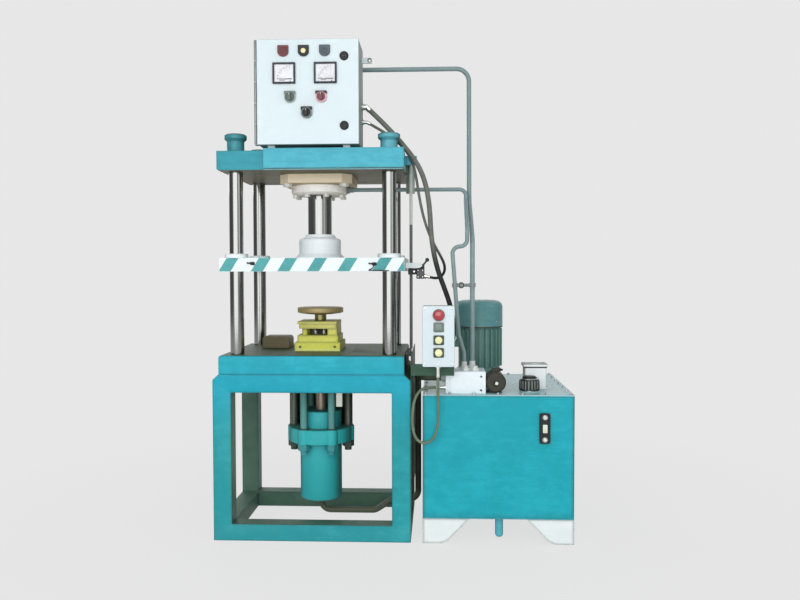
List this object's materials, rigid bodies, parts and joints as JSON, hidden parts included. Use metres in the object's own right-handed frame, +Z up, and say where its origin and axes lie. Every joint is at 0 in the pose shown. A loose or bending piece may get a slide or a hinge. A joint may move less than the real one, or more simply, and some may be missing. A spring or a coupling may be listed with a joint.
{
  "type": "hydraulic press",
  "caption": "Four-column hydraulic press with moving platen, ejector, die set, control panel, push-button station and oil power pack.",
  "frame": {"origin": "on the floor, under the middle of the whole machine's box without its free cables", "axes": "+X to the right as the operator sees it, +Y away from the operator, +Z up"},
  "size_m": [1.533, 0.795, 2.124],
  "materials": {
    "teal_paint": "semi-gloss machine enamel",
    "guard_paint": "satin enamel",
    "pale_paint": "satin powder coat",
    "white_paint": "satin enamel",
    "cream_paint": "satin enamel",
    "yellow_paint": "gloss enamel",
    "motor_paint": "semi-gloss enamel",
    "pipe_paint": "satin enamel",
    "chrome": "ground and polished",
    "bright_steel": "machined",
    "dark_steel": "oiled",
    "raw_steel": "worn",
    "nickel": "plated",
    "black_plastic": "moulded",
    "grey_plastic": "moulded",
    "dark_plastic": "moulded",
    "red_plastic": "moulded",
    "green_plastic": "moulded",
    "yellow_plastic": "moulded",
    "bronze": "turned",
    "conduit": "sheathed",
    "cable_rubber": "smooth"
  },
  "bodies": {
    "press": {"base_frame": "teal_paint", "side_guard": "guard_paint", "bed_plate": "teal_paint", "columns": "chrome", "cap_nuts": "teal_paint", "crosshead": "teal_paint", "cylinder_barrel": "teal_paint", "cylinder_flange": "cream_paint", "cylinder_bolts": "bright_steel", "gland_flange": "white_paint", "ejector_cylinder": "teal_paint", "die_base": "yellow_paint", "die_upper_shoe": "yellow_paint", "die_pad": "raw_steel", "spacer_block": "dark_steel", "panel_box": "pale_paint", "control_gear": "grey_plastic", "cable_glands": "nickel", "upper_pipe": "pipe_paint", "rod_side_pipe": "pipe_paint", "ejector_pipe": "raw_steel", "pipe_fittings": "nickel", "limit_rod": "bright_steel", "limit_switch": "black_plastic", "pendant_box": "pale_paint", "tank_body": "teal_paint", "tank_lid": "teal_paint", "tank_legs": "teal_paint", "level_gauge": "black_plastic", "return_filter": "white_paint", "bell_housing": "dark_steel", "motor_body": "motor_paint", "fan_cowl": "motor_paint", "valve_manifold": "white_paint", "solenoid_valve": "dark_plastic", "motor_cable": "conduit", "switch_cable": "conduit", "pendant_cable": "cable_rubber"},
    "ram": {"main_ram": "chrome", "ram_hub": "white_paint", "moving_platen": "teal_paint", "guide_bushes": "bronze"},
    "ejector": {"ejector_ram": "chrome"},
    "door": {"panel_door": "pale_paint", "pilot_lamps": "red_plastic", "panel_meters": "black_plastic"},
    "needle_left_body": {"needle_left": "dark_plastic"},
    "needle_right_body": {"needle_right": "dark_plastic"},
    "selector_left_body": {"selector_left": "grey_plastic"},
    "selector_right_body": {"selector_right": "red_plastic"},
    "selector_lower_body": {"selector_lower": "black_plastic"},
    "lock_upper_body": {"door_lock_upper": "black_plastic"},
    "lock_lower_body": {"door_lock_lower": "black_plastic"},
    "estop_body": {"estop_button": "red_plastic"},
    "push_upper_body": {"push_button_upper": "green_plastic"},
    "push_middle_body": {"push_button_middle": "yellow_plastic"},
    "push_lower_body": {"push_button_lower": "yellow_plastic"},
    "lever_body": {"limit_lever": "bright_steel"},
    "cap_body": {"filler_cap": "black_plastic"},
    "rotor_body": {"motor_rotor": "dark_steel"}
  },
  "joints": [
    {"name": "ram_slide", "type": "slide", "parent": "press", "child": "ram", "axis": [0, 0, 1], "range_m": [-0.15, 0.15]},
    {"name": "ejector_slide", "type": "slide", "parent": "press", "child": "ejector", "axis": [0, 0, 1], "range_m": [0, 0.06]},
    {"name": "door_hinge", "type": "hinge", "parent": "press", "child": "door", "pos_m": [-0.572, -0.2935, 1.686], "axis": [0, 0, -1], "range_deg": [0, 110]},
    {"name": "needle_left_turn", "type": "hinge", "parent": "door", "child": "needle_left_body", "pos_m": [-0.423, -0.3025, 1.958], "axis": [0, 1, 0], "range_deg": [0, 90]},
    {"name": "needle_right_turn", "type": "hinge", "parent": "door", "child": "needle_right_body", "pos_m": [-0.249, -0.3025, 1.958], "axis": [0, 1, 0], "range_deg": [0, 90]},
    {"name": "selector_left_turn", "type": "hinge", "parent": "door", "child": "selector_left_body", "pos_m": [-0.4245, -0.3025, 1.883], "axis": [0, 1, 0], "range_deg": [-45, 45]},
    {"name": "selector_right_turn", "type": "hinge", "parent": "door", "child": "selector_right_body", "pos_m": [-0.2925, -0.3025, 1.883], "axis": [0, 1, 0], "range_deg": [-45, 45]},
    {"name": "selector_lower_turn", "type": "hinge", "parent": "door", "child": "selector_lower_body", "pos_m": [-0.3545, -0.3025, 1.818], "axis": [0, 1, 0], "range_deg": [-45, 45]},
    {"name": "lock_upper_turn", "type": "hinge", "parent": "door", "child": "lock_upper_body", "pos_m": [-0.1965, -0.3025, 2.051], "axis": [0, 1, 0], "range_deg": [0, 90]},
    {"name": "lock_lower_turn", "type": "hinge", "parent": "door", "child": "lock_lower_body", "pos_m": [-0.1965, -0.3025, 1.763], "axis": [0, 1, 0], "range_deg": [0, 90]},
    {"name": "estop_press", "type": "slide", "parent": "press", "child": "estop_body", "axis": [0, 1, 0], "range_m": [0, 0.006], "stiffness_N_per_m": 400},
    {"name": "push_upper_press", "type": "slide", "parent": "press", "child": "push_upper_body", "axis": [0, 1, 0], "range_m": [0, 0.004], "stiffness_N_per_m": 400},
    {"name": "push_middle_press", "type": "slide", "parent": "press", "child": "push_middle_body", "axis": [0, 1, 0], "range_m": [0, 0.004], "stiffness_N_per_m": 400},
    {"name": "push_lower_press", "type": "slide", "parent": "press", "child": "push_lower_body", "axis": [0, 1, 0], "range_m": [0, 0.004], "stiffness_N_per_m": 400},
    {"name": "lever_turn", "type": "hinge", "parent": "press", "child": "lever_body", "pos_m": [0.1245, -0.0625, 1.174], "axis": [0, 1, 0], "range_deg": [-20, 20], "stiffness_Nm_per_rad": 0.3},
    {"name": "cap_turn", "type": "hinge", "parent": "press", "child": "cap_body", "pos_m": [0.5875, -0.2065, 0.634], "axis": [0, 0, 1], "range_deg": [0, 90]},
    {"name": "rotor_spin", "type": "hinge", "parent": "press", "child": "rotor_body", "pos_m": [0.3845, 0.0775, 0.69], "axis": [0, 0, 1], "continuous": true}
  ]
}
